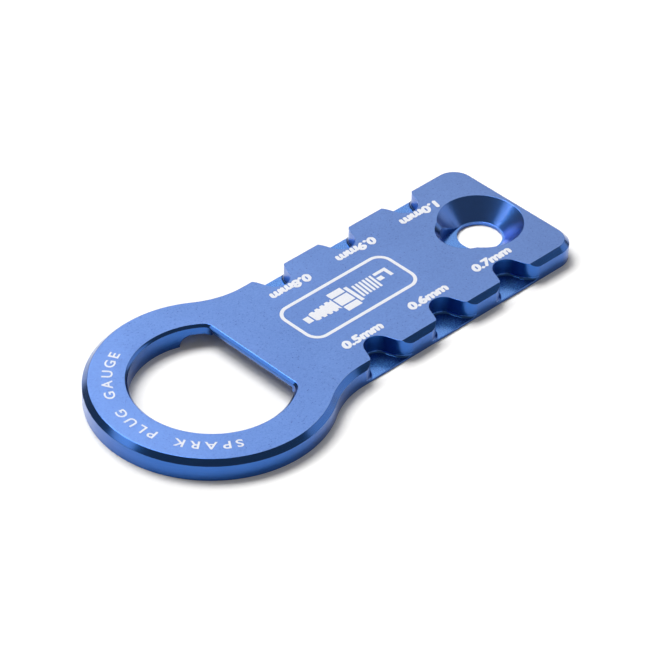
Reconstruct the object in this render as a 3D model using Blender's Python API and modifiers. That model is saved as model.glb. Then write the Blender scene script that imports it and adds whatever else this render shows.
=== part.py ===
"""Spark plug gap gauge with a bottle opener ring, machined from one aluminium plate.

The tool is one piece. A ring carries a D-shaped opening, whose straight side is the opener's
lip, and a short neck joins it to a plate with six notches. The floor of each notch is a thin
web, and the web's thickness is the gap that it gauges. A countersunk hole with a stepped
relief beside it sits near the square end.

Frame: +X runs from the ring to the square end, +Z up, the underside on z = 0, and the origin
under the middle of the bounding box.
"""
import math

import bmesh
import bpy

MM = 0.001

# Plate and ring
THICKNESS = 4.76 * MM
RING_RADIUS = 26.1 * MM
RING_TO_END = 89.3 * MM
PLATE_HALF_WIDTH = 18.7 * MM
NECK_RADIUS = 19.7 * MM
CORNER_RADIUS = 5.4 * MM
TOP_CHAMFER = 1.1 * MM

# D-shaped opening and the pocket under its lip
OPENING_RADIUS = 17.0 * MM
OPENING_SHIFT = 0.2 * MM
LIP_FROM_RING_CENTRE = 11.0 * MM
OPENING_CORNER = 2.0 * MM
OPENING_CHAMFER = 0.55 * MM
LIP_THICKNESS = 2.2 * MM
LIP_ROUNDING = 1.2 * MM
POCKET_BEFORE_LIP = 6.0 * MM
POCKET_BEHIND_LIP = 5.5 * MM
POCKET_SIDE_MARGIN = 0.5 * MM
POCKET_FILLET = 2.2 * MM
POCKET_CORNER = 4.0 * MM

# Gap notches, named by the thickness of the web at their floor
NOTCH_PITCH = 19.05 * MM
LAST_NOTCH_TO_END = 19.0 * MM
NOTCH_DEPTH = 6.4 * MM
NOTCH_INNER_RADIUS = 3.3 * MM
NOTCH_FLANK_ANGLE = math.radians(21)
NOTCH_MOUTH_RADIUS = 3.45 * MM
NOTCH_FLOOR_FILLET = 0.6 * MM
NEAR_SIDE_WEBS = (0.5 * MM, 0.6 * MM, 0.7 * MM)
FAR_SIDE_WEBS = (0.8 * MM, 0.9 * MM, 1.0 * MM)

# Countersunk hole and the stepped relief on its ring side
HOLE_TO_END = 11.2 * MM
HOLE_RADIUS = 4.9 * MM
SEAT_RADIUS = 5.3 * MM
SEAT_WEB = 0.71 * MM
RELIEF_LENGTH = 4.8 * MM
RELIEF_CHAMFER = 1.2 * MM

# Cutters reach past the faces that they open
REACH = 1.0 * MM
MOUTH_STOP_ANGLE = math.radians(12)
ROUND_STEPS = 48
SLIVER = 0.02 * MM

BLUE_ANODISED = (0.045, 0.13, 0.42, 1.0)

# Lengthwise places, from the ends of the tool
RING_X = (RING_RADIUS - RING_TO_END) / 2
END_X = (RING_RADIUS + RING_TO_END) / 2
HOLE_X = END_X - HOLE_TO_END
LIP_X = RING_X + LIP_FROM_RING_CENTRE


def clear_scene():
    for obj in list(bpy.data.objects):
        bpy.data.objects.remove(obj, do_unlink=True)


def new_collection(name):
    collection = bpy.data.collections.new(name)
    bpy.context.scene.collection.children.link(collection)
    return collection


def arc(centre, radius, start, end, steps):
    """Points on an arc from one angle to another, in radians, both ends included."""
    turns = [start + i * (end - start) / steps for i in range(steps + 1)]
    return [(centre[0] + radius * math.cos(t), centre[1] + radius * math.sin(t)) for t in turns]


def mirrored_in_y(points):
    """The same outline below the X axis, in reverse, so that the two halves run on."""
    return [(x, -y) for x, y in reversed(points)]


def prism(name, outline, low, high, collection):
    """A closed outline extruded from one height to another, as a mesh with whole end faces."""
    curve = bpy.data.curves.new(name, "CURVE")
    curve.dimensions = "2D"
    curve.fill_mode = "BOTH"
    curve.extrude = (high - low) / 2
    spline = curve.splines.new("POLY")
    spline.points.add(len(outline) - 1)
    for point, (x, y) in zip(spline.points, outline):
        point.co = (x, y, 0, 1)
    spline.use_cyclic_u = True
    drawn = bpy.data.objects.new(name + "_outline", curve)
    drawn.location.z = (low + high) / 2
    collection.objects.link(drawn)
    bpy.context.view_layer.update()
    evaluated = drawn.evaluated_get(bpy.context.evaluated_depsgraph_get())
    mesh = bpy.data.meshes.new_from_object(evaluated)
    solid = bpy.data.objects.new(name, mesh)
    solid.matrix_world = drawn.matrix_world
    collection.objects.link(solid)
    bpy.data.objects.remove(drawn)

    form = bmesh.new()
    form.from_mesh(mesh)
    bmesh.ops.remove_doubles(form, verts=form.verts, dist=1e-7)
    caps = [face for face in form.faces if abs(face.normal.z) > 0.9]
    inner = [edge for edge in form.edges if all(face in caps for face in edge.link_faces)]
    bmesh.ops.dissolve_edges(form, edges=inner, use_verts=False)
    bmesh.ops.recalc_face_normals(form, faces=form.faces)
    form.to_mesh(mesh)
    form.free()
    return solid


def bevel_rim(solid, side, width, segments=1):
    """Bevels the rim of a prism's end face, the upper one for side 1, the lower for side -1."""
    mesh = solid.data
    weights = mesh.attributes.new("bevel_weight_edge", "FLOAT", "EDGE")
    heights = [side * vertex.co.z for vertex in mesh.vertices]
    end = max(heights) - 1e-7
    for edge in mesh.edges:
        weights.data[edge.index].value = float(all(heights[i] > end for i in edge.vertices))
    bevel = solid.modifiers.new("Rim", "BEVEL")
    bevel.limit_method = "WEIGHT"
    bevel.width = width
    bevel.segments = segments
    bevel.use_clamp_overlap = False
    bevel.loop_slide = False
    solid.modifiers.new("Flat faces", "TRIANGULATE")


def cone(name, centre_x, low, high, low_radius, high_radius, collection):
    """A truncated cone, or a cylinder where the radii match, standing upright on the X axis."""
    mesh = bpy.data.meshes.new(name)
    form = bmesh.new()
    bmesh.ops.create_cone(
        form, cap_ends=True, segments=ROUND_STEPS, radius1=low_radius, radius2=high_radius,
        depth=high - low,
    )
    form.to_mesh(mesh)
    form.free()
    solid = bpy.data.objects.new(name, mesh)
    solid.location = (centre_x, 0, (low + high) / 2)
    collection.objects.link(solid)
    return solid


def cut(solid, cutter):
    """Takes the cutter's shape out of the solid.

    The cutters meet the plate's chamfer at shallow angles, and there the exact solver can leave
    a seam open when a size changes. The manifold solver keeps the body closed.
    """
    cutter.display_type = "WIRE"
    cutter.hide_render = True
    boolean = solid.modifiers.new(cutter.name, "BOOLEAN")
    boolean.operation = "DIFFERENCE"
    boolean.solver = "MANIFOLD"
    boolean.object = cutter


def body_outline():
    """Ring, neck fillets, straight sides and rounded square end, anticlockwise from the end."""
    neck_y = PLATE_HALF_WIDTH + NECK_RADIUS
    neck_x = math.sqrt((RING_RADIUS + NECK_RADIUS) ** 2 - neck_y ** 2)
    neck_angle = math.atan2(neck_y, neck_x)
    corner = (END_X - CORNER_RADIUS, PLATE_HALF_WIDTH - CORNER_RADIUS)
    far_half = arc(corner, CORNER_RADIUS, 0, math.pi / 2, 8)
    far_half += arc((RING_X + neck_x, neck_y), NECK_RADIUS, -math.pi / 2, neck_angle - math.pi, 10)
    ring = arc((RING_X, 0), RING_RADIUS, neck_angle, 2 * math.pi - neck_angle, 80)
    return far_half + ring[1:-1] + mirrored_in_y(far_half)


def opening_outline(grow):
    """The D-shaped opening, with its rounded corners, grown outwards by an offset."""
    radius = OPENING_RADIUS + grow
    corner = OPENING_CORNER + grow
    centre_x = RING_X + OPENING_SHIFT
    corner_x = LIP_X - OPENING_CORNER
    corner_y = math.sqrt((radius - corner) ** 2 - (corner_x - centre_x) ** 2)
    start = math.atan2(corner_y, corner_x - centre_x)
    half = arc((corner_x, corner_y), corner, 0, start, 4)
    big = arc((centre_x, 0), radius, start, 2 * math.pi - start, 64)
    return half + big[1:-1] + mirrored_in_y(half)


def pocket_outline():
    """The pocket under the lip, a rectangle with rounded corners."""
    start_x = LIP_X - POCKET_BEFORE_LIP
    end_x = LIP_X + POCKET_BEHIND_LIP
    low_x = start_x + POCKET_CORNER
    high_x = end_x - POCKET_CORNER
    y = OPENING_RADIUS + POCKET_SIDE_MARGIN - POCKET_CORNER
    far_half = arc((high_x, y), POCKET_CORNER, 0, math.pi / 2, 5)
    far_half += arc((low_x, y), POCKET_CORNER, math.pi / 2, math.pi, 5)
    return far_half + mirrored_in_y(far_half)


def lip_rounding_profile():
    """What the rounding takes off the lip's lower edge, in (distance along X, height)."""
    underside = THICKNESS - LIP_THICKNESS
    centre = (LIP_X + LIP_ROUNDING, underside + LIP_ROUNDING)
    edge = arc(centre, LIP_ROUNDING, math.pi, 1.5 * math.pi, 4)
    below = underside - REACH
    return edge + [(centre[0], below), (LIP_X - REACH, below), (LIP_X - REACH, centre[1])]


def notch_outline(centre_x, side):
    """A notch with slanted flanks, a round inner end and a rounded mouth.

    The half outline is laid out with u along the edge from the notch's middle and v inwards
    from the plate's edge, and is then mirrored.
    """
    slant = NOTCH_FLANK_ANGLE
    inner_v = NOTCH_DEPTH - NOTCH_INNER_RADIUS
    flank_u = (NOTCH_INNER_RADIUS + inner_v * math.sin(slant)) / math.cos(slant)
    mouth_u = flank_u + NOTCH_MOUTH_RADIUS * math.tan(math.pi / 4 - slant / 2)
    stop = 1.5 * math.pi - MOUTH_STOP_ANGLE
    half = arc((0, inner_v), NOTCH_INNER_RADIUS, math.pi / 2, slant, 7)
    half += arc((mouth_u, NOTCH_MOUTH_RADIUS), NOTCH_MOUTH_RADIUS, math.pi + slant, stop, 5)
    half.append((half[-1][0], -REACH))
    whole = half + [(-u, v) for u, v in reversed(half[1:])]
    return [(centre_x + u, side * (PLATE_HALF_WIDTH - v)) for u, v in whole]


def relief_outline(grow):
    """The relief's plan, grown by an offset: a round end, and straight sides as far as the hole."""
    radius = SEAT_RADIUS + grow
    end = arc((HOLE_X - RELIEF_LENGTH, 0), radius, math.pi / 2, 1.5 * math.pi, ROUND_STEPS // 2)
    return end + [(HOLE_X + grow, -radius), (HOLE_X + grow, radius)]


def cut_opening(body, cutters):
    above = THICKNESS + REACH
    cut(body, prism("opening_cutter", opening_outline(0), -REACH, above, cutters))
    flare = prism(
        "opening_chamfer_cutter", opening_outline(OPENING_CHAMFER + REACH),
        THICKNESS - OPENING_CHAMFER, THICKNESS + 2 * REACH, cutters,
    )
    bevel_rim(flare, -1, OPENING_CHAMFER + REACH)
    cut(body, flare)

    pocket_top = THICKNESS - LIP_THICKNESS
    pocket = prism("pocket_cutter", pocket_outline(), -REACH - POCKET_FILLET, pocket_top, cutters)
    bevel_rim(pocket, 1, POCKET_FILLET, segments=5)
    cut(body, pocket)

    # The rounding's profile is drawn flat and then stood up, so that it runs along Y.
    corner_x = LIP_FROM_RING_CENTRE - OPENING_CORNER - OPENING_SHIFT
    half_length = math.sqrt((OPENING_RADIUS - OPENING_CORNER) ** 2 - corner_x ** 2)
    profile = lip_rounding_profile()
    rounding = prism("lip_rounding_cutter", profile, -half_length, half_length, cutters)
    rounding.rotation_euler.x = math.pi / 2
    cut(body, rounding)


def cut_notches(body, cutters):
    for side, webs in ((-1, NEAR_SIDE_WEBS), (1, FAR_SIDE_WEBS)):
        for place, web in enumerate(webs):
            centre_x = END_X - LAST_NOTCH_TO_END - (len(webs) - 1 - place) * NOTCH_PITCH
            name = f"notch_cutter_{web / MM:.1f}".replace(".", "_")
            notch = prism(name, notch_outline(centre_x, side), web, THICKNESS + REACH, cutters)
            bevel_rim(notch, -1, NOTCH_FLOOR_FILLET, segments=3)
            cut(body, notch)


def cut_hole(body, cutters):
    above = THICKNESS + REACH
    sink_depth = THICKNESS - SEAT_WEB
    cut(body, cone("hole_cutter", HOLE_X, -REACH, above, HOLE_RADIUS, HOLE_RADIUS, cutters))
    wide = SEAT_RADIUS + sink_depth + REACH
    cut(body, cone("countersink_cutter", HOLE_X, SEAT_WEB, above, SEAT_RADIUS, wide, cutters))
    cut(body, prism("relief_cutter", relief_outline(0), SEAT_WEB, above, cutters))
    flare = prism(
        "relief_chamfer_cutter", relief_outline(RELIEF_CHAMFER + REACH),
        THICKNESS - RELIEF_CHAMFER, THICKNESS + 2 * REACH, cutters,
    )
    bevel_rim(flare, -1, RELIEF_CHAMFER + REACH)
    cut(body, flare)


def blue_anodised():
    material = bpy.data.materials.new("blue_anodised")
    material.use_nodes = True
    shader = material.node_tree.nodes["Principled BSDF"]
    shader.inputs["Base Color"].default_value = BLUE_ANODISED
    shader.inputs["Metallic"].default_value = 1.0
    shader.inputs["Roughness"].default_value = 0.35
    return material


def make_gauge():
    gauge = new_collection("gap_gauge")
    cutters = new_collection("cutters")
    body = prism("gauge_body", body_outline(), 0, THICKNESS, gauge)
    body.data.materials.append(blue_anodised())
    bevel_rim(body, 1, TOP_CHAMFER)
    cut_opening(body, cutters)
    cut_notches(body, cutters)
    cut_hole(body, cutters)
    weld = body.modifiers.new("Slivers", "WELD")
    weld.merge_threshold = SLIVER
    body.data.shade_smooth()
    body.data.set_sharp_from_angle(angle=math.radians(25))


clear_scene()
make_gauge()
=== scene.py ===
# %% [markdown]
# # A spark plug gap gauge with a bottle opener ring
#
# The real tool is one piece of aluminium plate. A mill cuts its outline, its D-shaped opening,
# its six notches and its countersunk hole, a blue anodised coat goes over all of it, and a laser
# bleaches the marks into that coat. This lesson makes the same cuts in the same order.
#
# The first cell loads the measured model as a fixed frame. Every place below comes from its box,
# so the finished piece lies exactly where the measured one lies.

# %% Load the frame
import math

import bmesh
import bpy
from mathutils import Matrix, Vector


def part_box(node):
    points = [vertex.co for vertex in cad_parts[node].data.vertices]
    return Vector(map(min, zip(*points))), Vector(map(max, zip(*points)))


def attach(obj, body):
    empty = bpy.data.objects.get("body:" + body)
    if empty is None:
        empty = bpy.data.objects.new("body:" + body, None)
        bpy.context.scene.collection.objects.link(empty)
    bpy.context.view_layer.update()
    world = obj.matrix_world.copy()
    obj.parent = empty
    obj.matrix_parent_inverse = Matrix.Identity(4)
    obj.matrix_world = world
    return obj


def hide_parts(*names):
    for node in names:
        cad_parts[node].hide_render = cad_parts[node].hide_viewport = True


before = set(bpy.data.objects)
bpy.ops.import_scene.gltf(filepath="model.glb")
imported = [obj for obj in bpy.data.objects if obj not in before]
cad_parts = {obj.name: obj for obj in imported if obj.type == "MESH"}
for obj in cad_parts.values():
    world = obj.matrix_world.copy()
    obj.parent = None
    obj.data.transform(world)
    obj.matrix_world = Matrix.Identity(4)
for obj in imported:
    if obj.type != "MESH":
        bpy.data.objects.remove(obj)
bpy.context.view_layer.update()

MM = 0.001
low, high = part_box("gauge_body")
THICKNESS = high.z
print("measured body in mm:", [round((b - a) / MM, 2) for a, b in zip(low, high)])

# %% [markdown]
# ## The camera
#
# A long lens from far away keeps the plate's long sides almost parallel. The camera stands off the
# ring's end, looks down at about 38 degrees and leans a little to one side. Plain location and
# rotation values are enough for a single view, and they need no target object.

# %% Camera
camera_data = bpy.data.cameras.new("camera")
camera_data.lens = 186.35
camera_data.sensor_width = 36.0
camera_data.clip_start = 0.01
camera_data.clip_end = 20.0
camera = bpy.data.objects.new("camera", camera_data)
camera.location = (-0.385087, -0.387272, 0.434194)
camera.rotation_euler = [math.radians(a) for a in (51.5947, -1.0729, -44.0100)]
bpy.context.scene.collection.objects.link(camera)
bpy.context.scene.camera = camera
print("camera stands", round(camera.location.length / MM), "mm from the middle of the tool")

# %% [markdown]
# ## A pen for outlines
#
# A machinist's drawing is made of straight lines and arcs, and so is this one. The pen starts as
# a small plane whose corners are merged into one vertex. Extruding that vertex draws a line, and
# the spin tool swings it round a centre to draw an arc. A turning angle above zero goes
# anticlockwise. Arcs get short steps, so that their walls look round in a close view, and large
# arcs get shorter ones than small arcs.
#
# An outline lies flat at a height, or stands upright on the XZ plane at a distance along Y. Edit
# mode works on the active object, so a helper that picks one object comes first.

# %% Draw a chain of lines and arcs
LARGE_ARC = 10 * MM
LARGE_ARC_STEP = 2.0
SMALL_ARC_STEP = 5.0


def pick(piece):
    """Selects this object alone and makes it the active one."""
    bpy.ops.object.select_all(action="DESELECT")
    bpy.context.view_layer.objects.active = piece
    piece.select_set(True)


def start_pen(name, start, at, upright):
    """A new mesh of a single selected vertex, in edit mode."""
    bpy.ops.object.select_all(action="DESELECT")
    bpy.ops.mesh.primitive_plane_add(size=MM)
    bpy.context.object.name = name
    bpy.ops.object.mode_set(mode="EDIT")
    bpy.ops.mesh.merge(type="CENTER")
    place = (start[0], at, start[1]) if upright else (start[0], start[1], at)
    bpy.ops.transform.translate(value=place)
    return bpy.context.object


def swing(pen, a, b, degrees, at, upright):
    """Draws an arc round (a, b) and gives the point where it ends."""
    across, along = pen[0] - a, pen[1] - b
    step = LARGE_ARC_STEP if math.hypot(across, along) > LARGE_ARC else SMALL_ARC_STEP
    steps = max(2, math.ceil(abs(degrees) / step))
    turn = math.radians(degrees)
    centre = (a, at, b) if upright else (a, b, at)
    axis = (0, -1, 0) if upright else (0, 0, 1)
    bpy.ops.mesh.spin(steps=steps, angle=-turn, center=centre, axis=axis)
    cos, sin = math.cos(turn), math.sin(turn)
    return (a + across * cos - along * sin, b + across * sin + along * cos)


def draw_chain(name, start, moves, at=0.0, upright=False):
    """Lines to a point (two numbers) and arcs round a centre by an angle (three numbers)."""
    piece = start_pen(name, start, at, upright)
    pen = start
    for move in moves:
        if len(move) == 3:
            pen = swing(pen, *move, at, upright)
            continue
        a, b = move[0] - pen[0], move[1] - pen[1]
        step = (a, 0, b) if upright else (a, b, 0)
        bpy.ops.mesh.extrude_region_move(TRANSFORM_OT_translate={"value": step})
        pen = move
    return piece


# %% [markdown]
# ## From an outline to a solid
#
# A closed outline gets one face and is pulled up or down into a prism. The new end face is still
# selected then, so a bevel takes its rim straight away. One segment makes a flat chamfer, and more
# segments make a round fillet. The outline of a rounded rectangle comes up twice, so it has a
# helper of its own.

# %% Pull an outline into a prism
WELD = 0.001 * MM
SAME_HEIGHT = 0.01 * MM
LEVEL_NORMAL = 0.99


def close_solid():
    """Welds the mesh, turns all faces outwards and leaves edit mode."""
    bpy.ops.mesh.select_all(action="SELECT")
    bpy.ops.mesh.remove_doubles(threshold=WELD)
    bpy.ops.mesh.normals_make_consistent(inside=False)
    bpy.ops.object.mode_set(mode="OBJECT")


def raise_prism(name, start, moves, at, rise, upright=False):
    """A solid from an outline, left in edit mode with its far end face selected."""
    piece = draw_chain(name, start, moves + [start], at, upright)
    bpy.ops.mesh.select_all(action="SELECT")
    bpy.ops.mesh.remove_doubles(threshold=WELD)
    bpy.ops.mesh.edge_face_add()
    step = (0, rise, 0) if upright else (0, 0, rise)
    bpy.ops.mesh.extrude_region_move(TRANSFORM_OT_translate={"value": step})
    return piece


def rounded_rectangle(x0, x1, y0, y1, corner):
    """The start and the moves of a rectangle's outline with rounded corners."""
    start = (x1, y0 + corner)
    moves = [
        (x1, y1 - corner),
        (x1 - corner, y1 - corner, 90),
        (x0 + corner, y1),
        (x0 + corner, y1 - corner, 90),
        (x0, y0 + corner),
        (x0 + corner, y0 + corner, 90),
        (x1 - corner, y0),
        (x1 - corner, y0 + corner, 90),
    ]
    return start, moves


def bevel_rim(width, segments=1):
    """Bevels all selected edges by the same width."""
    bpy.ops.mesh.bevel(offset=width, segments=segments, affect="EDGES", loop_slide=False)


def select_level_face(piece, height):
    """Selects the flat face that lies at this height, and nothing else."""
    bpy.ops.mesh.select_all(action="DESELECT")
    form = bmesh.from_edit_mesh(piece.data)
    for face in form.faces:
        level = abs(face.normal.z) > LEVEL_NORMAL
        face.select_set(level and abs(face.calc_center_median().z - height) < SAME_HEIGHT)
    bmesh.update_edit_mesh(piece.data)


# %% [markdown]
# ## The blank
#
# The ring, two large neck fillets and a plate with a rounded square end make one outline. Each
# neck fillet touches the ring and the plate's side, and that settles the place of its centre:
# it stands one fillet radius off the side and both radii away from the ring's centre. The
# chamfer round the top edge is cut before the notches, because on the real tool the notches
# cut through it.

# %% Blank with its top chamfer
RING_RADIUS = 26.1 * MM
PLATE_HALF_WIDTH = 18.7 * MM
NECK_RADIUS = 19.7 * MM
CORNER_RADIUS = 5.4 * MM
TOP_CHAMFER = 1.1 * MM
REACH = 1.0 * MM

ring_x = low.x + RING_RADIUS
end_x = high.x
neck_y = PLATE_HALF_WIDTH + NECK_RADIUS
neck_x = ring_x + math.sqrt((RING_RADIUS + NECK_RADIUS) ** 2 - neck_y**2)
neck_turn = math.degrees(math.atan2(neck_y, neck_x - ring_x))
corner_x = end_x - CORNER_RADIUS
corner_y = PLATE_HALF_WIDTH - CORNER_RADIUS

gauge = raise_prism(
    "anodised_gauge",
    (end_x, -corner_y),
    [
        (end_x, corner_y),
        (corner_x, corner_y, 90),
        (neck_x, PLATE_HALF_WIDTH),
        (neck_x, neck_y, neck_turn - 90),
        (ring_x, 0, 360 - 2 * neck_turn),
        (neck_x, -neck_y, neck_turn - 90),
        (corner_x, -PLATE_HALF_WIDTH),
        (corner_x, -corner_y, 90),
    ],
    at=0,
    rise=THICKNESS,
)
bevel_rim(TOP_CHAMFER)
close_solid()
print("blank is", round(gauge.dimensions.x / MM, 2), "mm long")

# %% [markdown]
# ## Cutting
#
# Each cut is a Boolean modifier that takes a cutter's shape out of the blank, and it is applied at
# once, so that the mesh stays a plain mesh. The cut faces take the cutter's own material, as
# metal takes the finish of the tool that cut it. The manifold solver needs closed meshes, and in
# return it always gives a closed one.


# %% Cut with a tool
def cut_with(cutter):
    """Takes the cutter's shape out of the gauge and removes the cutter."""
    pick(gauge)
    boolean = gauge.modifiers.new("cut", "BOOLEAN")
    boolean.operation = "DIFFERENCE"
    boolean.solver = "MANIFOLD"
    boolean.material_mode = "TRANSFER"
    boolean.object = cutter
    bpy.ops.object.modifier_apply(modifier=boolean.name)
    bpy.data.objects.remove(cutter)


# %% [markdown]
# ## Five finishes in one blue
#
# The dye is the same everywhere, but the metal under it isn't. The two faces were blasted satin
# before anodising, the chamfers and the walls show the side of a mill, the cone shows a turning
# tool, and the notch floors were cut with the end of the mill. So there are five materials. They
# come before the cuts, because the cutters carry them.
#
# Anodised aluminium is metal under a thin clear layer. Principled BSDF says the same with a metallic
# base in the dye's colour and a coat over it, which gives the paler blue at grazing angles.
#
# Short helpers keep the node set-ups readable: they add a node with its values, link two nodes,
# and lay a noise texture over Object coordinates. Those are in metres here, so a noise of scale
# 1000 has grains of about a millimetre.


# %% Node helpers
def add_node(finish, kind, **values):
    """Adds a node and sets its inputs, with _ for each space in an input's name."""
    made = finish.node_tree.nodes.new(kind)
    for socket, value in values.items():
        made.inputs[socket.replace("_", " ")].default_value = value
    return made


def link(finish, start, output, end, entry):
    """Links an output to an input, both by name."""
    finish.node_tree.links.new(start.outputs[output], end.inputs[entry])


def object_noise(finish, **values):
    """A noise texture on Object coordinates."""
    place = add_node(finish, "ShaderNodeTexCoord")
    noise = add_node(finish, "ShaderNodeTexNoise", **values)
    link(finish, place, "Object", noise, "Vector")
    return noise


def new_finish(name):
    """A material with its Principled BSDF, and that shader."""
    finish = bpy.data.materials.new(name)
    finish.use_nodes = True
    return finish, finish.node_tree.nodes["Principled BSDF"]


# %% [markdown]
# ## From a pattern to a finish
#
# Each finish differs only in its pattern. The same few links turn any pattern into the finish: it
# moves the colour between a deep and a light tint, it moves the roughness, and it raises very small
# bumps. A second, wide and faint cloud shifts the colour over centimetres, as dye baths do. A noise
# seldom leaves the middle of its range, so only that middle is spread over the values.
#
# The clear layer has the same strength on every finish. It fills the smallest scratches, so it is
# a little smoother than the metal under it.

# %% Dye a finish by a pattern
PATTERN_LOW = 0.3
PATTERN_HIGH = 0.7
FINE_SHARE = 0.7
CLOUD_SHARE = 0.3
CLOUD_SCALE = 70.0
COAT_WEIGHT = 0.8
COAT_IOR = 1.5
COAT_TO_METAL_ROUGHNESS = 0.7


def spread(finish, pattern, output, lowest, highest):
    """Maps the middle of a pattern to a range."""
    ranged = add_node(finish, "ShaderNodeMapRange")
    ranged.inputs["From Min"].default_value = PATTERN_LOW
    ranged.inputs["From Max"].default_value = PATTERN_HIGH
    ranged.inputs["To Min"].default_value = lowest
    ranged.inputs["To Max"].default_value = highest
    link(finish, pattern, output, ranged, "Value")
    return ranged


def tint_between(finish, shader, factor, deep, light):
    """Mixes two tints by a factor node into the shader's colour."""
    mix = add_node(finish, "ShaderNodeMix")
    mix.data_type = "RGBA"
    first, second = [socket for socket in mix.inputs if socket.type == "RGBA"]
    first.default_value = (*deep, 1)
    second.default_value = (*light, 1)
    link(finish, factor, "Result", mix, "Factor")
    mixed = [socket for socket in mix.outputs if socket.type == "RGBA"][0]
    finish.node_tree.links.new(mixed, shader.inputs["Base Color"])


def raise_bumps(finish, shader, pattern, output, height):
    """Small bumps of this height, in metres, from a pattern."""
    bump = add_node(finish, "ShaderNodeBump", Strength=1.0, Distance=height)
    link(finish, pattern, output, bump, "Height")
    link(finish, bump, "Normal", shader, "Normal")
    link(finish, bump, "Normal", shader, "Coat Normal")


def dye(finish, shader, pattern, output, tints, roughness, height):
    """The blue anodised finish on metal that carries this pattern."""
    shader.inputs["Metallic"].default_value = 1.0
    shader.inputs["Coat Weight"].default_value = COAT_WEIGHT
    shader.inputs["Coat IOR"].default_value = COAT_IOR
    shader.inputs["Coat Roughness"].default_value = COAT_TO_METAL_ROUGHNESS * sum(roughness) / 2
    fine = spread(finish, pattern, output, 0.0, FINE_SHARE)
    cloud = object_noise(finish, Scale=CLOUD_SCALE, Detail=2.0)
    wide = spread(finish, cloud, "Fac", 0.0, CLOUD_SHARE)
    both = add_node(finish, "ShaderNodeMath")
    both.operation = "ADD"
    finish.node_tree.links.new(fine.outputs["Result"], both.inputs[0])
    finish.node_tree.links.new(wide.outputs["Result"], both.inputs[1])
    limited = add_node(finish, "ShaderNodeMapRange")
    link(finish, both, "Value", limited, "Value")
    tint_between(finish, shader, limited, *tints)
    rough = spread(finish, pattern, output, *roughness)
    link(finish, rough, "Result", shader, "Roughness")
    raise_bumps(finish, shader, pattern, output, height)


# %% [markdown]
# ## The satin faces
#
# Blasting leaves fine, even grains from a tenth to a third of a millimetre across. A noise
# texture at that scale, on Object coordinates in metres, makes them the same size all over.

# %% Satin face
SATIN_TINTS = ((0.038, 0.105, 0.32), (0.075, 0.165, 0.43))
SATIN_ROUGHNESS = (0.26, 0.38)
SATIN_BUMP = 0.007 * MM

SATIN, satin_shader = new_finish("satin_face")
satin_grain = object_noise(SATIN, Scale=2600.0, Detail=4.0, Roughness=0.7)
dye(SATIN, satin_shader, satin_grain, "Fac", SATIN_TINTS, SATIN_ROUGHNESS, SATIN_BUMP)
print("made", SATIN.name, "with", len(SATIN.node_tree.nodes), "nodes")

# %% [markdown]
# ## The milled chamfers
#
# The side of a spinning mill leaves faint lines that run along the cut, a few hundredths of a
# millimetre apart. Noise becomes lines when a Mapping node squeezes it in one direction: here it
# is fine along Z and long across.

# %% Milled edge
MILL_LINES = (250, 250, 9000)
MILLED_TINTS = ((0.006, 0.088, 0.36), (0.01, 0.108, 0.42))
MILLED_ROUGHNESS = (0.16, 0.22)
MILLED_BUMP = 0.0005 * MM


def mill_lines(finish):
    """Fine lines that run along a cut."""
    place = add_node(finish, "ShaderNodeTexCoord")
    squeeze = add_node(finish, "ShaderNodeMapping", Scale=MILL_LINES)
    lines = add_node(finish, "ShaderNodeTexNoise", Scale=1.0, Detail=3.0)
    link(finish, place, "Object", squeeze, "Vector")
    link(finish, squeeze, "Vector", lines, "Vector")
    return lines


MILLED, milled_shader = new_finish("milled_edge")
milled_lines = mill_lines(MILLED)
dye(MILLED, milled_shader, milled_lines, "Fac", MILLED_TINTS, MILLED_ROUGHNESS, MILLED_BUMP)
print("made", MILLED.name, "with", len(MILLED.node_tree.nodes), "nodes")

# %% [markdown]
# ## The milled walls
#
# The upright walls are cut by the mill's whole side at once, so they come out duller than the
# chamfers. They get the same lines with more roughness, in a material of their own.

# %% Milled wall
WALL_TINTS = ((0.006, 0.11, 0.46), (0.012, 0.135, 0.53))
WALL_ROUGHNESS = (0.3, 0.4)
WALL_BUMP = 0.001 * MM

WALL, wall_shader = new_finish("milled_wall")
dye(WALL, wall_shader, mill_lines(WALL), "Fac", WALL_TINTS, WALL_ROUGHNESS, WALL_BUMP)
print("made", WALL.name, "with", len(WALL.node_tree.nodes), "nodes")

# %% [markdown]
# ## The turned cone
#
# A turning tool leaves rings round the hole. They are too fine to see one by one, but together they
# spread a highlight up and down the cone, which is the bright streak that turned metal shows. A wave
# texture makes rings round the Z axis, and the Mapping node moves that axis to the hole, whose place
# is worked out here from the tool's end. The clear layer on the cone is smoother than the metal
# under it, so the middle of the streak is paler than its sides.

# %% Turned cone
HOLE_TO_END = 11.2 * MM
TURNED_TINTS = ((0.03, 0.125, 0.45), (0.045, 0.15, 0.53))
TURNED_ROUGHNESS = (0.24, 0.32)
TURNED_BUMP = 0.006 * MM
TURNED_COAT_ROUGHNESS = 0.07
hole_x = end_x - HOLE_TO_END

TURNED, turned_shader = new_finish("turned_cone")
turned_place = add_node(TURNED, "ShaderNodeTexCoord")
turned_centre = add_node(TURNED, "ShaderNodeMapping", Location=(-hole_x, 0, 0))
turned_rings = add_node(TURNED, "ShaderNodeTexWave", Scale=2400.0, Distortion=2.5, Detail=2.0)
turned_rings.wave_type = "RINGS"
turned_rings.rings_direction = "Z"
link(TURNED, turned_place, "Object", turned_centre, "Vector")
link(TURNED, turned_centre, "Vector", turned_rings, "Vector")
dye(TURNED, turned_shader, turned_rings, "Fac", TURNED_TINTS, TURNED_ROUGHNESS, TURNED_BUMP)
turned_shader.inputs["Coat Roughness"].default_value = TURNED_COAT_ROUGHNESS
print("made", TURNED.name, "round x =", round(hole_x / MM, 2))

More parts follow.
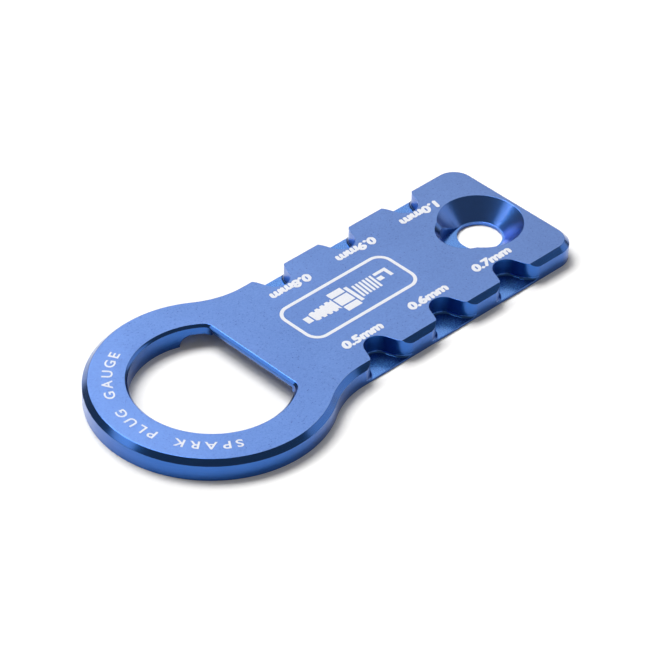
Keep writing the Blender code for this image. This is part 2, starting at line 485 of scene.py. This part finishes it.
# %% [markdown]
# ## The notch floors
#
# The end of the mill leaves fine swirls on the flat floors. Strongly distorted noise gives such
# winding lines.

# %% Milled floor
FLOOR_TINTS = ((0.03, 0.15, 0.46), (0.05, 0.18, 0.52))
FLOOR_ROUGHNESS = (0.22, 0.32)
FLOOR_BUMP = 0.0015 * MM

FLOOR_CUT, floor_cut_shader = new_finish("milled_floor")
swirl = object_noise(FLOOR_CUT, Scale=900.0, Detail=2.0, Distortion=6.0)
dye(FLOOR_CUT, floor_cut_shader, swirl, "Fac", FLOOR_TINTS, FLOOR_ROUGHNESS, FLOOR_BUMP)

FINISHES = [SATIN, MILLED, TURNED, FLOOR_CUT, WALL]
for finish in FINISHES:
    gauge.data.materials.append(finish)
print("finishes:", [finish.name for finish in gauge.data.materials])

# %% [markdown]
# ## The D-shaped opening
#
# A large arc and a straight side, with small rounded corners between them. The corner's centre
# lies inside the arc by the corner's radius, so the two arcs touch.
#
# The chamfer comes with the cutter. Its upper part is a flare at 45 degrees: the outline is grown
# outwards by the flare's height, and a bevel of that width narrows it down to the true outline,
# which is then pulled on through the plate.

# %% Opening and its chamfer
OPENING_RADIUS = 17.0 * MM
OPENING_SHIFT = 0.2 * MM
LIP_FROM_RING_CENTRE = 11.0 * MM
OPENING_CORNER = 2.0 * MM
OPENING_CHAMFER = 0.55 * MM

opening_x = ring_x + OPENING_SHIFT
lip_x = ring_x + LIP_FROM_RING_CENTRE
lip_corner_x = lip_x - OPENING_CORNER
lip_corner_y = math.sqrt((OPENING_RADIUS - OPENING_CORNER) ** 2 - (lip_corner_x - opening_x) ** 2)
lip_turn = math.degrees(math.atan2(lip_corner_y, lip_corner_x - opening_x))

flare = OPENING_CHAMFER + REACH
chamfer_foot = THICKNESS - OPENING_CHAMFER
opening = raise_prism(
    "opening",
    (lip_x + flare, -lip_corner_y),
    [
        (lip_x + flare, lip_corner_y),
        (lip_corner_x, lip_corner_y, lip_turn),
        (opening_x, 0, 360 - 2 * lip_turn),
        (lip_corner_x, -lip_corner_y, lip_turn),
    ],
    at=chamfer_foot + 2 * flare,
    rise=-2 * flare,
)
bevel_rim(flare)
select_level_face(opening, chamfer_foot)
bpy.ops.mesh.extrude_region_move(TRANSFORM_OT_translate={"value": (0, 0, -THICKNESS - REACH)})
close_solid()
opening.data.materials.append(MILLED)
cut_with(opening)
print("opening is", round(2 * OPENING_RADIUS / MM, 1), "mm across, its lip at", round(lip_x / MM, 2))

# %% [markdown]
# ## The pocket under the lip
#
# A bottle cap's edge has to hook under the straight side, so the underside is milled away there.
# The cutter is a rounded rectangle whose upper rim is a large fillet, and that fillet leaves the
# soft run-out where the pocket ends. The lip's own lower edge is rounded with a second cutter,
# drawn upright and pulled along the lip. It is moved out by a hundredth of a millimetre, so that
# its arc crosses both faces: where an arc only touches a face, a Boolean leaves slivers.

# %% Pocket and lip edge
LIP_THICKNESS = 2.2 * MM
LIP_ROUNDING = 1.2 * MM
POCKET_BEFORE_LIP = 6.0 * MM
POCKET_BEHIND_LIP = 5.5 * MM
POCKET_SIDE_MARGIN = 0.5 * MM
POCKET_FILLET = 2.2 * MM
POCKET_FILLET_STEPS = 12
POCKET_CORNER = 4.0 * MM
BITE = 0.01 * MM

pocket_top = THICKNESS - LIP_THICKNESS
pocket_low = lip_x - POCKET_BEFORE_LIP
pocket_high = lip_x + POCKET_BEHIND_LIP
pocket_y = OPENING_RADIUS + POCKET_SIDE_MARGIN
start, moves = rounded_rectangle(pocket_low, pocket_high, -pocket_y, pocket_y, POCKET_CORNER)
pocket_foot = -REACH - POCKET_FILLET
pocket = raise_prism("lip_pocket", start, moves, at=pocket_foot, rise=pocket_top - pocket_foot)
bevel_rim(POCKET_FILLET, segments=POCKET_FILLET_STEPS)
close_solid()
pocket.data.materials.append(MILLED)
cut_with(pocket)

edge_x = lip_x + LIP_ROUNDING - BITE
edge_z = pocket_top + LIP_ROUNDING - BITE
rounding = raise_prism(
    "lip_rounding",
    (edge_x - LIP_ROUNDING, edge_z),
    [
        (edge_x, edge_z, 90),
        (edge_x, pocket_top - REACH),
        (lip_x - REACH, pocket_top - REACH),
        (lip_x - REACH, edge_z),
    ],
    at=-lip_corner_y,
    rise=2 * lip_corner_y,
    upright=True,
)
close_solid()
rounding.data.materials.append(MILLED)
cut_with(rounding)
print("pocket is", round(pocket_top / MM, 2), "mm deep")

# %% [markdown]
# ## The notches
#
# All six notches have one plan: slanted flanks, a round inner end and a rounded mouth. Only the
# height of the floor changes, because the web that it leaves is what the notch gauges. The plan
# is drawn once, with a small fillet round its floor, and each notch is a copy of it that is lifted
# by its own web. The far side's copies are turned half round. The mouth's arcs stop a few degrees
# early and run on straight, because a cutter that only touches the plate's side leaves slivers.

# %% One notch cutter
NOTCH_DEPTH = 6.4 * MM
NOTCH_INNER_RADIUS = 3.3 * MM
NOTCH_FLANK_ANGLE = 21.0
NOTCH_MOUTH_RADIUS = 3.45 * MM
NOTCH_FLOOR_FILLET = 0.6 * MM
NOTCH_FILLET_STEPS = 6
MOUTH_STOP = 8.0
MOUTH_RUN = 3.0 * MM

slant = math.radians(NOTCH_FLANK_ANGLE)
stop = math.radians(MOUTH_STOP)
inner_v = NOTCH_DEPTH - NOTCH_INNER_RADIUS
flank_u = (NOTCH_INNER_RADIUS + inner_v * math.sin(slant)) / math.cos(slant)
mouth_u = flank_u + NOTCH_MOUTH_RADIUS * math.tan(math.pi / 4 - slant / 2)
mouth_end_u = mouth_u - NOTCH_MOUTH_RADIUS * math.sin(stop)
mouth_end_v = NOTCH_MOUTH_RADIUS * (1 - math.cos(stop))
outer_u = mouth_end_u + MOUTH_RUN * math.cos(stop)
outer_v = mouth_end_v - MOUTH_RUN * math.sin(stop)
flank_end = (NOTCH_INNER_RADIUS * math.cos(slant), inner_v + NOTCH_INNER_RADIUS * math.sin(slant))
mouth_start = (
    mouth_u - NOTCH_MOUTH_RADIUS * math.cos(slant),
    NOTCH_MOUTH_RADIUS * (1 - math.sin(slant)),
)
mouth_turn = 90 - MOUTH_STOP - NOTCH_FLANK_ANGLE

notch = raise_prism(
    "notch",
    (-outer_u, -2 * REACH),
    [
        (-outer_u, outer_v),
        (-mouth_end_u, mouth_end_v),
        (-mouth_u, NOTCH_MOUTH_RADIUS, mouth_turn),
        (-flank_end[0], flank_end[1]),
        (0, inner_v, 2 * NOTCH_FLANK_ANGLE - 180),
        mouth_start,
        (mouth_u, NOTCH_MOUTH_RADIUS, mouth_turn),
        (outer_u, outer_v),
        (outer_u, -2 * REACH),
    ],
    at=THICKNESS + REACH,
    rise=-THICKNESS - REACH,
)
bevel_rim(NOTCH_FLOOR_FILLET, segments=NOTCH_FILLET_STEPS)
close_solid()
notch.data.materials.append(MILLED)
print("notch is", round(2 * mouth_u / MM, 1), "mm wide at its mouth")

# %% Six notches
NOTCH_PITCH = 19.05 * MM
LAST_NOTCH_TO_END = 19.0 * MM
WEBS = {-1: (0.5, 0.6, 0.7), 1: (0.8, 0.9, 1.0)}


def notch_x(place):
    """Where a notch stands, counted from the ring: 0, 1 or 2."""
    return end_x - LAST_NOTCH_TO_END - (2 - place) * NOTCH_PITCH


for side, webs in WEBS.items():
    for place, web in enumerate(webs):
        pick(notch)
        bpy.ops.object.duplicate()
        cutter = bpy.context.object
        if side > 0:
            bpy.ops.transform.rotate(value=math.pi, orient_axis="Z", center_override=(0, 0, 0))
        x = notch_x(place)
        bpy.ops.transform.translate(value=(x, side * PLATE_HALF_WIDTH, web * MM))
        bpy.ops.object.transform_apply()
        cut_with(cutter)
        print("notch", web, "mm at x =", round(x / MM, 2))
bpy.data.objects.remove(notch)

# %% [markdown]
# ## The countersunk hole and its relief
#
# The hole, its flat seat and the cone above are one turned shape: half a profile, drawn upright and
# spun round the hole's axis. A flat-floored relief opens the cone towards the ring, with a
# chamfer of its own.

# %% Countersink
HOLE_RADIUS = 4.9 * MM
SEAT_RADIUS = 5.3 * MM
SEAT_WEB = 0.71 * MM
SPIN_STEPS = 144

top = THICKNESS + REACH
wide = SEAT_RADIUS + top - SEAT_WEB
countersink = draw_chain(
    "countersink",
    (hole_x, -REACH),
    [
        (hole_x + HOLE_RADIUS, -REACH),
        (hole_x + HOLE_RADIUS, SEAT_WEB),
        (hole_x + SEAT_RADIUS, SEAT_WEB),
        (hole_x + wide, top),
        (hole_x, top),
    ],
    upright=True,
)
bpy.ops.mesh.select_all(action="SELECT")
bpy.ops.mesh.spin(steps=SPIN_STEPS, angle=math.tau, center=(hole_x, 0, 0), axis=(0, 0, 1))
close_solid()
countersink.data.materials.append(TURNED)
cut_with(countersink)
print("hole is", round(2 * HOLE_RADIUS / MM, 1), "mm wide, centred at x =", round(hole_x / MM, 2))

# %% Relief beside the hole
RELIEF_LENGTH = 4.8 * MM
RELIEF_HALF_WIDTH = 5.25 * MM
RELIEF_CHAMFER = 1.2 * MM

flare = RELIEF_CHAMFER + REACH
chamfer_foot = THICKNESS - RELIEF_CHAMFER
wide = RELIEF_HALF_WIDTH + flare
far_x = hole_x - RELIEF_LENGTH
relief = raise_prism(
    "relief",
    (hole_x + flare, -wide),
    [(hole_x + flare, wide), (far_x, wide), (far_x, 0, 180)],
    at=chamfer_foot + 2 * flare,
    rise=-2 * flare,
)
bevel_rim(flare)
select_level_face(relief, chamfer_foot)
drop = chamfer_foot - SEAT_WEB
bpy.ops.mesh.extrude_region_move(TRANSFORM_OT_translate={"value": (0, 0, -drop)})
close_solid()
relief.data.materials.append(MILLED)
cut_with(relief)
print("relief is cut", round(drop / MM, 2), "mm down from its chamfer")

# %% [markdown]
# ## Broken edges
#
# No machined part leaves the shop with knife edges: they are broken by a few hundredths of a
# millimetre, and that is what catches a line of light. The cuts leave some stray vertices, so
# those are merged first. Then every sharp edge in the open is selected by its angle and its
# place, and one bevel breaks them all. The edges under the lip and round the seat of the hole stay
# as they were cut.

# %% Merge stray vertices and break the edges
EDGE_BREAK = 0.05 * MM
EDGE_BREAK_STEPS = 2
SHARP = math.radians(28)
NEARLY_FLAT = math.radians(0.2)
STRAY = 0.013 * MM
SEAT_ROOM = 0.3 * MM
SEAT_HALF_WIDTH = 6 * MM
SEAT_FROM = 30 * MM
POCKET_ROOM = 0.1 * MM

pick(gauge)
bpy.ops.object.mode_set(mode="EDIT")
bpy.ops.mesh.select_mode(type="EDGE")
bpy.ops.mesh.select_all(action="SELECT")
bpy.ops.mesh.remove_doubles(threshold=STRAY)
bpy.ops.mesh.dissolve_limited(angle_limit=NEARLY_FLAT, delimit={"MATERIAL"})
bpy.ops.mesh.select_all(action="DESELECT")

form = bmesh.from_edit_mesh(gauge.data)
for edge in form.edges:
    middle = (edge.verts[0].co + edge.verts[1].co) / 2
    in_pocket = pocket_low - MM < middle.x < pocket_high + MM and middle.z < edge_z + BITE
    in_pocket = in_pocket and abs(middle.y) < pocket_y + POCKET_ROOM
    at_seat = middle.z < SEAT_WEB + SEAT_ROOM and abs(middle.y) < SEAT_HALF_WIDTH
    at_seat = at_seat and middle.x > SEAT_FROM
    sharp = edge.calc_face_angle() > SHARP
    edge.select_set(sharp and not in_pocket and not at_seat)
bmesh.update_edit_mesh(gauge.data)
print("edges to break:", sum(edge.select for edge in form.edges))
bevel_rim(EDGE_BREAK, segments=EDGE_BREAK_STEPS)
bpy.ops.mesh.select_mode(type="VERT")
close_solid()
print("gauge has", len(gauge.data.polygons), "faces")

# %% [markdown]
# ## Which face wears which finish
#
# The cone already wears its cutter's finish. What is left is told apart by place: the two large
# faces are satin, other level faces are floors, upright faces are walls, and the rest are
# chamfers and fillets.
#
# Smooth shading would pull the large flat faces into the rounded edges and leave soft blotches on
# them. The Weighted Normal modifier lets the large faces win, so they stay flat and only the narrow
# broken edges bend.

# %% Finishes and shading
FLAT_NORMAL = 0.999
UPRIGHT_NORMAL = 0.1


def finish_of(face):
    """The finish that a face of the gauge wears."""
    level = abs(face.normal.z) > FLAT_NORMAL
    height = face.center.z
    if level and (height > THICKNESS - SAME_HEIGHT or height < SAME_HEIGHT):
        return SATIN
    if level:
        return FLOOR_CUT
    if face.material_index == FINISHES.index(TURNED):
        return TURNED
    upright = abs(face.normal.z) < UPRIGHT_NORMAL
    return WALL if upright else MILLED


for face in gauge.data.polygons:
    face.material_index = FINISHES.index(finish_of(face))
for place, finish in enumerate(FINISHES):
    print(finish.name, "faces:", sum(face.material_index == place for face in gauge.data.polygons))

bpy.ops.object.shade_smooth_by_angle(angle=SHARP)
flat = gauge.modifiers.new("flat faces stay flat", "WEIGHTED_NORMAL")
flat.keep_sharp = True
flat.weight = 100
bpy.ops.object.modifier_apply(modifier=flat.name)
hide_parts("gauge_body")
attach(gauge, "root")

# %% [markdown]
# ## The bleached marks
#
# A laser bleaches the dye away and leaves white marks that lie level with the metal. A drawn
# material could hold such marks too, but it would need a picture of them. So they are very thin
# solids, rooted in the face and two hundredths of a millimetre proud of it. Their white isn't
# even: some dye stays in the grain.

# %% White of the marks
MARK_RISE = 0.02 * MM
MARK_ROOT = 0.03 * MM
BLEACHED_TINTS = ((0.56, 0.58, 0.66), (0.70, 0.71, 0.74))
BLEACHED_ROUGHNESS = (0.5, 0.65)
BLEACHED_BUMP = 0.0025 * MM

BLEACHED, bleached_shader = new_finish("bleached_white")
bleached_grain = object_noise(BLEACHED, Scale=4200.0, Detail=3.0, Roughness=0.6)
bleached_factor = spread(BLEACHED, bleached_grain, "Fac", 0.0, 1.0)
tint_between(BLEACHED, bleached_shader, bleached_factor, *BLEACHED_TINTS)
bleached_rough = spread(BLEACHED, bleached_grain, "Fac", *BLEACHED_ROUGHNESS)
link(BLEACHED, bleached_rough, "Result", bleached_shader, "Roughness")
raise_bumps(BLEACHED, bleached_shader, bleached_grain, "Fac", BLEACHED_BUMP)
print("made", BLEACHED.name, "with", len(BLEACHED.node_tree.nodes), "nodes")


def finish_mark(mark):
    """A mark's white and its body."""
    mark.data.materials.clear()
    mark.data.materials.append(BLEACHED)
    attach(mark, "root")


# %% [markdown]
# ## Lettering
#
# Blender's own font is thin, and these marks are heavier. A text's offset grows its outline, which
# is enough for the plain capitals round the ring. Grown as far as the heavy numbers need, the outline
# would fold over itself at sharp inner corners. So the numbers are struck four more times, each a
# little to one side, and all the strikes are united. That fills the figures out and squares their
# corners, and the solid stays closed. Where strikes cross, tiny edges are left, and a weld and a
# limited dissolve take those away. A text is most of a metre high until it is set to size, so the
# welds here are far wider than the one above.

# %% Strike letters in bold
CURVE_STEPS = 4
TEXT_WELD = 0.0005
STRIKE_WELD = 0.002
STRAIGHT = math.radians(0.5)


def strike_again(letters, shift):
    """Unites the letters with a copy of themselves that is moved by the shift."""
    pick(letters)
    bpy.ops.object.duplicate()
    strike = bpy.context.object
    bpy.ops.transform.translate(value=shift)
    pick(letters)
    union = letters.modifiers.new("strike", "BOOLEAN")
    union.operation = "UNION"
    union.solver = "MANIFOLD"
    union.object = strike
    bpy.ops.object.modifier_apply(modifier=union.name)
    bpy.data.objects.remove(strike)


def thin_letters(name, text, grown=0.0, bold=0.0, lean=0.0):
    """Letters as a closed solid, one unit thick and in edit mode, with their measured box."""
    bpy.ops.object.select_all(action="DESELECT")
    bpy.ops.object.text_add()
    letters = bpy.context.object
    letters.data.body = text
    letters.data.shear = lean
    letters.data.extrude = 0.5
    letters.data.resolution_u = CURVE_STEPS
    letters.data.offset = grown
    bpy.ops.object.convert(target="MESH")
    letters = bpy.context.object
    letters.name = name
    bpy.ops.object.mode_set(mode="EDIT")
    bpy.ops.mesh.select_all(action="SELECT")
    bpy.ops.mesh.remove_doubles(threshold=TEXT_WELD)
    bpy.ops.mesh.normals_make_consistent(inside=False)
    bpy.ops.object.mode_set(mode="OBJECT")
    if bold:
        for shift in ((bold, bold, 0), (-bold, bold, 0), (-bold, -bold, 0), (bold, -bold, 0)):
            strike_again(letters, shift)
    corners = [vertex.co for vertex in letters.data.vertices]
    left, right = min(c.x for c in corners), max(c.x for c in corners)
    foot, head = min(c.y for c in corners), max(c.y for c in corners)
    bpy.ops.object.mode_set(mode="EDIT")
    bpy.ops.mesh.select_all(action="SELECT")
    bpy.ops.mesh.remove_doubles(threshold=STRIKE_WELD)
    bpy.ops.mesh.dissolve_limited(angle_limit=STRAIGHT)
    bpy.ops.mesh.normals_make_consistent(inside=False)
    return letters, (left, right, foot, head)


# %% [markdown]
# Measured letters can be set to any size. This happens in edit mode too, so the object itself stays
# at the origin.


# %% Set letters on a line
def set_letters(box, middle, baseline, width, height):
    """Sizes the selected letters and stands them on a baseline, in the top face."""
    left, right, foot, head = box
    middle_z = THICKNESS + (MARK_RISE - MARK_ROOT) / 2
    bpy.ops.transform.translate(value=(-(left + right) / 2, -foot, 0))
    scale = (width / (right - left), height / (head - foot), MARK_RISE + MARK_ROOT)
    bpy.ops.transform.resize(value=scale, center_override=(0, 0, 0))
    bpy.ops.transform.translate(value=(middle, baseline, middle_z))


# %% [markdown]
# ## The gap numbers
#
# Each notch has its number beside it, in heavy, slightly slanted figures. They are read from their
# own side of the plate, so the far side's numbers are turned half round about the notch's middle.

# %% Numbers
NUMBER_HEIGHT = 2.5 * MM
NUMBER_WIDTH = 11.1 * MM
NUMBER_BASELINE = 12.1 * MM
NUMBER_SHIFT = -0.3 * MM
NUMBER_BOLD = 0.032
NUMBER_LEAN = 0.15

for side, webs in WEBS.items():
    for place, web in enumerate(webs):
        name = f"number_{web:.1f}"
        number, box = thin_letters(name, f"{web:.1f}mm", bold=NUMBER_BOLD, lean=NUMBER_LEAN)
        set_letters(box, NUMBER_SHIFT, -NUMBER_BASELINE, NUMBER_WIDTH, NUMBER_HEIGHT)
        if side > 0:
            bpy.ops.transform.rotate(value=math.pi, orient_axis="Z", center_override=(0, 0, 0))
        bpy.ops.transform.translate(value=(notch_x(place), 0, 0))
        bpy.ops.object.mode_set(mode="OBJECT")
        finish_mark(number)
        print(number.name, "is", round(number.dimensions.x / MM, 1), "mm wide")

# %% [markdown]
# ## The words round the ring
#
# The words say plainly what the tool is. Their letters stand on a circle with their heads
# outwards, and they are read clockwise. Each letter is its own mesh first, so that its width is
# known, and the widths are added up to find each letter's angle. At the end they are joined into
# one piece.


# %% Join pieces
def join_into(name, pieces):
    """Joins the pieces into the first of them, which gets the name."""
    pick(pieces[0])
    for piece in pieces:
        piece.select_set(True)
    bpy.ops.object.join()
    pieces[0].name = name
    return pieces[0]


# %% Ring lettering
WORDS = "SPARK PLUG GAUGE"
LETTER_HEIGHT = 2.25 * MM
LETTER_GAP = 1.05 * MM
WORD_GAP = 1.9 * MM
BASELINE_RADIUS = 19.9 * MM
LETTER_STRETCH = 1.12
LETTER_GROWN = 0.014

letters = []
widths = []
for place, sign in enumerate(WORDS):
    if sign == " ":
        letters.append(None)
        widths.append(WORD_GAP)
        continue
    letter, box = thin_letters(f"letter_{place}", sign, grown=LETTER_GROWN)
    width = LETTER_STRETCH * LETTER_HEIGHT * (box[1] - box[0]) / (box[3] - box[2])
    set_letters(box, 0, BASELINE_RADIUS, width, LETTER_HEIGHT)
    bpy.ops.object.mode_set(mode="OBJECT")
    letters.append(letter)
    widths.append(width)

middle_radius = BASELINE_RADIUS + LETTER_HEIGHT / 2
length = sum(widths) + LETTER_GAP * (len(WORDS) - 1)
reach = -length / 2
for letter, width in zip(letters, widths):
    turn = math.pi / 2 - (reach + width / 2) / middle_radius
    reach += width + LETTER_GAP
    if letter is None:
        continue
    pick(letter)
    bpy.ops.object.mode_set(mode="EDIT")
    bpy.ops.mesh.select_all(action="SELECT")
    bpy.ops.transform.rotate(value=-turn, orient_axis="Z", center_override=(0, 0, 0))
    bpy.ops.transform.translate(value=(ring_x, 0, 0))
    bpy.ops.object.mode_set(mode="OBJECT")

ring_lettering = join_into("ring_lettering", [letter for letter in letters if letter])
finish_mark(ring_lettering)
print("ring lettering spans", round(math.degrees(length / middle_radius)), "degrees")

# %% [markdown]
# ## The emblem
#
# A spark plug lies in a frame with rounded corners, so anyone sees what the tool measures. It is
# drawn as on a workshop chart: terminal, ribbed insulator, hexagon, collar, thread, and the two
# electrodes with the gap between them. The frame is an outline that is inset, and its middle is
# deleted before the rest is pulled up.

# %% Frame of the emblem
EMBLEM_X = 7.4 * MM
EMBLEM_Y = 0.3 * MM
FRAME_HALF_LENGTH = 15.6 * MM
FRAME_HALF_HEIGHT = 6.5 * MM
FRAME_CORNER = 3.4 * MM
FRAME_LINE = 0.8 * MM

mark_floor = THICKNESS - MARK_ROOT
start, moves = rounded_rectangle(
    EMBLEM_X - FRAME_HALF_LENGTH,
    EMBLEM_X + FRAME_HALF_LENGTH,
    EMBLEM_Y - FRAME_HALF_HEIGHT,
    EMBLEM_Y + FRAME_HALF_HEIGHT,
    FRAME_CORNER,
)
emblem_frame = draw_chain("emblem_frame", start, moves + [start], mark_floor)
bpy.ops.mesh.select_all(action="SELECT")
bpy.ops.mesh.remove_doubles(threshold=WELD)
bpy.ops.mesh.edge_face_add()
bpy.ops.mesh.inset(thickness=FRAME_LINE)
bpy.ops.mesh.delete(type="FACE")
bpy.ops.mesh.select_all(action="SELECT")
bpy.ops.mesh.extrude_region_move(TRANSFORM_OT_translate={"value": (0, 0, MARK_RISE + MARK_ROOT)})
close_solid()
finish_mark(emblem_frame)
print("emblem's frame is", round(emblem_frame.dimensions.x / MM, 1), "mm long")


# %% Shapes of the chart
def chart_shape(outline):
    """A thin solid of a straight-sided outline, given in millimetres from the emblem's middle."""
    points = [(EMBLEM_X + x * MM, EMBLEM_Y + y * MM) for x, y in outline]
    piece = raise_prism("chart", points[0], points[1:], mark_floor, MARK_RISE + MARK_ROOT)
    close_solid()
    return piece


def chart_bar(x0, x1, y0, y1, slant=0.0):
    """A bar from x0 to x1, whose upper end is moved along by the slant."""
    return chart_shape([(x0, y0), (x1, y0), (x1 + slant, y1), (x0 + slant, y1)])


# %% Spark plug of the emblem
RIBS = 4
RIB_PITCH = 1.5
RIB_GROWTH = 0.12
RIB_DEPTH = 0.45
THREAD_TURNS = 6
THREAD_PITCH = 1.0
THREAD_LINE = 0.6
THREAD_SLANT = 0.35

terminal = chart_bar(-12.4, -10.9, -1.0, 1.0)
insulator_side = [(-10.5, 1.2)]
for rib in range(RIBS):
    x = -10.0 + rib * RIB_PITCH
    crest = 1.5 + RIB_GROWTH * rib
    root = crest - RIB_DEPTH
    insulator_side += [(x, crest), (x + 0.8, crest), (x + 1.0, root), (x + 1.3, root)]
insulator_side.append((-3.7, 2.0))
insulator = chart_shape(insulator_side + [(x, -y) for x, y in reversed(insulator_side)])
shapes = [terminal, insulator]
for y0, y1 in ((-3.5, -1.75), (-1.35, 1.35), (1.75, 3.5)):
    hexagon_side = chart_bar(-3.3, 0.6, y0, y1)
    shapes.append(hexagon_side)
collar = chart_bar(1.0, 1.9, -2.8, 2.8)
shapes.append(collar)
for turn in range(THREAD_TURNS):
    x = 2.3 + turn * THREAD_PITCH
    shapes.append(chart_bar(x, x + THREAD_LINE, -2.1, 2.1, slant=THREAD_SLANT))
centre_electrode = chart_bar(8.5, 10.0, -0.6, 0.6)
hook = [(8.8, 2.1), (12.4, 2.1), (12.4, -0.8), (11.5, -0.8), (11.5, 1.3), (8.8, 1.3)]
ground_electrode = chart_shape(hook)
shapes += [centre_electrode, ground_electrode]

emblem_plug = join_into("emblem_plug", shapes)
finish_mark(emblem_plug)
print("emblem's plug is", round(emblem_plug.dimensions.x / MM, 1), "mm long")

# %% [markdown]
# ## The floor
#
# The tool lies on a wide sheet of white paper. Its faint fibres give the shadow a natural surface,
# and it isn't attached to a body, because it isn't part of the tool.

# %% Floor
FLOOR_SIDE = 6.0
PAPER_TINTS = ((0.89, 0.89, 0.89), (0.91, 0.91, 0.91))
PAPER_BUMP = 0.001 * MM

bpy.ops.object.select_all(action="DESELECT")
bpy.ops.mesh.primitive_plane_add(size=FLOOR_SIDE)
floor = bpy.context.object
floor.name = "floor"
PAPER, paper_shader = new_finish("white_paper")
paper_fibre = object_noise(PAPER, Scale=900.0, Detail=3.0)
paper_factor = spread(PAPER, paper_fibre, "Fac", 0.0, 1.0)
tint_between(PAPER, paper_shader, paper_factor, *PAPER_TINTS)
raise_bumps(PAPER, paper_shader, paper_fibre, "Fac", PAPER_BUMP)
paper_shader.inputs["Roughness"].default_value = 0.9
paper_shader.inputs["Specular IOR Level"].default_value = 0.1
floor.data.materials.append(PAPER)
print("floor is", round(floor.dimensions.x, 1), "m wide")

# %% [markdown]
# ## Light
#
# Bright metal shows its surroundings more than its own colour, so the lights are placed by what
# each chamfer mirrors. A strong panel high behind the tool gives the short shadow in front and the
# broad light in the cone, and a small one beside it draws the cone's streak. A weaker sheet behind
# the tool is what the satin face mirrors. One panel on each side lights the chamfers that face it,
# and the dim grey world leaves the rest of them dark. Three low, weak panels in front serve the
# satin face when the tool is seen from behind.
#
# A panel's power goes with its size, so the helper works it out from the brightness it should
# show in a mirror. Panels are hidden from the camera. Each call below gives the panel's bearing
# and height in degrees, its distance, width and height in metres, and its brightness.


# %% Lights
def softbox(name, azimuth, elevation, distance, width, height, radiance):
    """A soft panel that faces the tool from a bearing (from +X towards +Y) and a height."""
    panel = bpy.data.lights.new(name, "AREA")
    panel.shape = "RECTANGLE"
    panel.size = width
    panel.size_y = height
    panel.energy = radiance * math.pi * width * height
    light = bpy.data.objects.new(name, panel)
    a, e = math.radians(azimuth), math.radians(elevation)
    light.location = (
        distance * math.cos(e) * math.cos(a),
        distance * math.cos(e) * math.sin(a),
        distance * math.sin(e),
    )
    light.rotation_euler = (math.radians(90 - elevation), 0, math.radians(azimuth + 90))
    light.visible_camera = False
    bpy.context.scene.collection.objects.link(light)


softbox("main_softbox", 82, 60, 2.0, 1.2, 1.0, 11.0)
softbox("back_sweep", 45, 36, 2.4, 2.4, 1.1, 1.15)
softbox("right_sweep", -20, 22, 2.4, 1.7, 1.1, 0.92)
softbox("cone_glint", 120, 48, 2.0, 0.4, 0.4, 12.0)
softbox("left_strip", 144, 36, 2.0, 0.72, 0.6, 1.8)
softbox("front_fill", -100, 21, 2.4, 1.6, 0.7, 0.8)
softbox("left_fill", -172, 17, 2.4, 1.0, 0.6, 0.8)
softbox("corner_fill", -58, 13, 2.4, 1.2, 0.5, 0.8)

STUDIO_GREY = (0.18, 0.17, 0.15, 1)
studio = bpy.data.worlds.new("studio")
bpy.context.scene.world = studio
studio.use_nodes = True
studio.node_tree.nodes["Background"].inputs["Color"].default_value = STUDIO_GREY
bpy.context.scene.view_settings.view_transform = "Standard"
